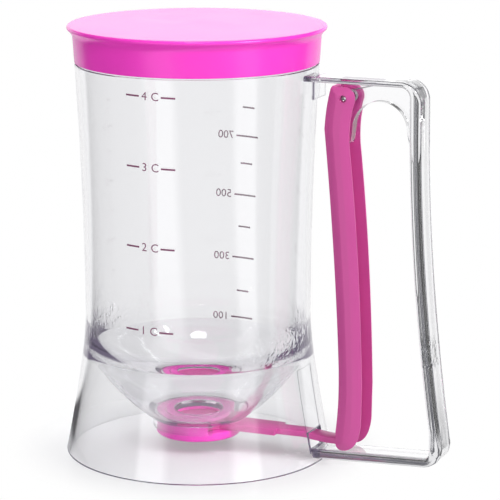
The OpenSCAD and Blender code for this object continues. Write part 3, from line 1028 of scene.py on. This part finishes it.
class BATTER_OT_scales(bpy.types.Operator):
    """Prints the cup scale on the front of the wall and the millilitre scale on its back"""

    bl_idname = "batter.scales"
    bl_label = "Scales"

    def execute(self, context):
        sizes = context.scene.batter_scales
        ink = printed_ink("Plum screen ink", sizes.colour)
        height = sizes.letter_height
        cups, millilitres = [], []
        for count, z in CUP_MARKS:
            cups.append(self.tick(-10.9, -4.8, z, 1))
            cups.append(self.letters(str(count), -2.4, z, height, 1, "CENTER"))
            cups.append(self.letters("C", 2.3, z, height, 1, "CENTER"))
            cups.append(self.tick(4.9, 10.9, z, 1))
        for volume, z in ML_MARKS:
            long = volume % 200 == 100
            millilitres.append(self.tick(-3.8 if long else -1.2, 7.2 if long else 4.8, z, -1))
            if long:
                millilitres.append(self.letters(str(volume), -5.1, z, height, -1, "LEFT"))
        for name, marks, side, shift in (
            ("cup_scale", cups, 1, 0.55),
            ("millilitre_scale", millilitres, -1, 0.0),
        ):
            self.lay_on_wall(name, marks, side, shift * MM, sizes.slant, ink)
        return {"FINISHED"}

    @staticmethod
    def tick(start, end, z, side):
        """A line of ink, finely divided so that it follows the round wall."""
        clear_selection()
        bpy.ops.mesh.primitive_grid_add(
            x_subdivisions=16, y_subdivisions=1, size=1,
            location=((start + end) / 2 * MM, -PRINT_Y * MM * side, z * MM),
            rotation=(math.pi / 2, 0, 0 if side == 1 else math.pi),
        )
        line = bpy.context.object
        line.scale = ((end - start) * MM, TICK_T * MM, 1)
        bpy.ops.object.transform_apply()
        return line

    @staticmethod
    def letters(text, x, z, height, side, align):
        """Figures as a flat mesh, which read from outside the wall."""
        clear_selection()
        bpy.ops.object.text_add(
            location=(x * MM, -PRINT_Y * MM * side, z * MM),
            rotation=(math.pi / 2, 0, 0 if side == 1 else math.pi),
        )
        label = bpy.context.object
        label.data.body = text
        # a figure stands 0.7 of the font's size high
        label.data.size = height / 0.7
        label.data.align_x = align
        label.data.align_y = "CENTER"
        label.data.resolution_u = 4
        bpy.ops.object.convert(target="MESH")
        label = bpy.context.object
        bpy.ops.object.transform_apply()
        return label

    @staticmethod
    def lay_on_wall(name, marks, side, shift, slant, ink):
        """Joins a scale's marks, turns them by the print's slant and lays them on the wall."""
        hold(marks[0])
        for mark in marks:
            mark.select_set(True)
        bpy.ops.object.join()
        scale = bpy.context.object
        scale.name = name
        open_mesh(scale)
        bpy.ops.mesh.remove_doubles(threshold=2e-6)
        bpy.ops.transform.translate(value=(shift, 0, 0))
        bpy.ops.transform.rotate(
            value=-slant, orient_axis="Y", orient_type="GLOBAL",
            center_override=(shift, 0, PRINT_MIDDLE_Z * MM),
        )
        bpy.ops.object.mode_set(mode="OBJECT")
        modify(
            scale, "SHRINKWRAP", wrap_method="PROJECT", use_project_y=True,
            use_negative_direction=side == -1, use_positive_direction=side == 1,
            target=bpy.data.objects["clear_body"], offset=0.03 * MM,
        )
        # the film of ink
        modify(scale, "SOLIDIFY", thickness=0.04 * MM, offset=1.0)
        bpy.ops.object.mode_set(mode="EDIT")
        tidy_faces()
        dress(scale, "housing", ink)


class BATTER_OT_studio(bpy.types.Operator):
    """Sets up the floor, the soft lamps, the world and the camera"""

    bl_idname = "batter.studio"
    bl_label = "Studio"

    def execute(self, context):
        sizes = context.scene.batter_studio
        context.scene.view_settings.view_transform = "Standard"
        self.floor(sizes.floor_colour, sizes.azimuth)
        self.world(sizes.azimuth)
        for name, place, size, power in (
            ("Key softbox", (1.2, -0.35, 0.9), 0.45, 12.0),
            ("Fill softbox", (0.35, -0.78, 1.1), 0.4, 5.0),
            ("Top softbox", (-0.1, 0.2, 1.5), 0.8, 2.4),
        ):
            self.lamp(name, place, size, power)
        self.camera(sizes.lens)
        return {"FINISHED"}

    @staticmethod
    def camera(lens):
        """The camera, which looks down at the front with the handle on the right."""
        clear_selection()
        bpy.ops.object.camera_add(location=CAMERA_PLACE)
        camera = bpy.context.object
        ahead, right = Vector(CAMERA_AHEAD), Vector(CAMERA_RIGHT)
        up = right.cross(ahead)
        camera.matrix_world = Matrix.Translation(camera.location) @ Matrix(
            (right, up, -ahead)
        ).transposed().to_4x4()
        camera.data.lens = lens
        camera.data.clip_start = 0.05
        bpy.context.scene.camera = camera

    @staticmethod
    def lamp(name, place, size, power):
        """A round area lamp that points at the middle of the cup."""
        clear_selection()
        bpy.ops.object.light_add(type="AREA", location=place)
        lamp = bpy.context.object
        lamp.name = name
        lamp.data.shape = "DISK"
        lamp.data.size = size
        lamp.data.energy = power
        aim = Vector(LAMP_AIM) - Vector(place)
        lamp.rotation_euler = aim.to_track_quat("-Z", "Y").to_euler()

    @staticmethod
    def floor(colour, azimuth):
        """A wide plane just under the foot."""
        clear_selection()
        bpy.ops.mesh.primitive_plane_add(size=12, location=(0, 0, -0.2 * MM))
        floor = bpy.context.object
        floor.name = "studio_floor"
        bpy.ops.object.transform_apply()
        floor.data.materials.append(white_sweep("Satin white sweep", colour, azimuth))

    @staticmethod
    def world(azimuth):
        """A white tent that is brighter just above the horizon, with dark flags at the sides."""
        world = bpy.data.worlds.new("Light tent")
        bpy.context.scene.world = world
        world.use_nodes = True
        tree = world.node_tree
        tree.nodes.clear()
        way = add_node(tree, "TexCoord", out="Generated")
        rays = add_node(tree, "LightPath", out=None)
        rise = add_node(tree, "SeparateXYZ", {"Vector": way}, "Z")
        glow = add_node(
            tree, "MapRange",
            {"Value": rise, "From Min": 0.38, "From Max": 0.25, "To Min": 0.15, "To Max": 2.0},
            **EASED,
        )
        # what the pink parts mirror through the clear wall is no brighter than the tent
        through = add_node(
            tree, "Math", {0: rays["Transmission Depth"], 1: 1.0}, operation="MINIMUM"
        )
        plain = add_node(tree, "Math", {0: glow, 1: 1.0}, operation="MINIMUM")
        glow = add_node(tree, "Mix", {0: through, 2: glow, 3: plain})
        level = studio_level(tree, way, azimuth, mirrored_once(tree, rays))
        mirrored = add_node(tree, "Math", {0: glow, 1: level}, operation="MULTIPLY")
        seen = add_node(
            tree, "Math", {0: rays["Is Glossy Ray"], 1: rays["Is Transmission Ray"]},
            operation="MAXIMUM",
        )
        level = add_node(tree, "Mix", {0: seen, 2: AMBIENT, 3: mirrored})
        level = add_node(tree, "Mix", {0: rays["Is Camera Ray"], 2: level, 3: 1.0})
        tent = add_node(tree, "Background", {"Strength": level})
        add_node(tree, "OutputWorld", {"Surface": tent}, None)


class BATTER_PT_panel(bpy.types.Panel):
    """The dispenser's pieces, in the order in which they are built"""

    bl_idname = "BATTER_PT_panel"
    bl_label = "Batter dispenser"
    bl_space_type = "VIEW_3D"
    bl_region_type = "UI"
    bl_category = "Batter dispenser"

    def draw(self, context):
        for operator in OPERATORS:
            self.layout.operator(operator.bl_idname)


OPERATORS = (
    BATTER_OT_clear_body,
    BATTER_OT_lid,
    BATTER_OT_trigger,
    BATTER_OT_valve,
    BATTER_OT_pivot,
    BATTER_OT_scales,
    BATTER_OT_studio,
)
SETTINGS = {
    "batter_clear_body": ClearBodySettings,
    "batter_lid": LidSettings,
    "batter_trigger": TriggerSettings,
    "batter_valve": ValveSettings,
    "batter_pivot": PivotSettings,
    "batter_scales": ScaleSettings,
    "batter_studio": StudioSettings,
}


def register():
    for group in SETTINGS.values():
        bpy.utils.register_class(group)
    for key, group in SETTINGS.items():
        setattr(bpy.types.Scene, key, bpy.props.PointerProperty(type=group))
    for item in (*OPERATORS, BATTER_PT_panel):
        bpy.utils.register_class(item)


def unregister():
    for item in (BATTER_PT_panel, *reversed(OPERATORS)):
        bpy.utils.unregister_class(item)
    for key, group in SETTINGS.items():
        delattr(bpy.types.Scene, key)
        bpy.utils.unregister_class(group)


def main():
    register()
    bpy.ops.batter.clear_body()
    bpy.ops.batter.lid()
    bpy.ops.batter.trigger()
    bpy.ops.batter.valve()
    bpy.ops.batter.pivot()
    bpy.ops.batter.scales()
    bpy.ops.batter.studio()


if __name__ == "__main__":
    main()
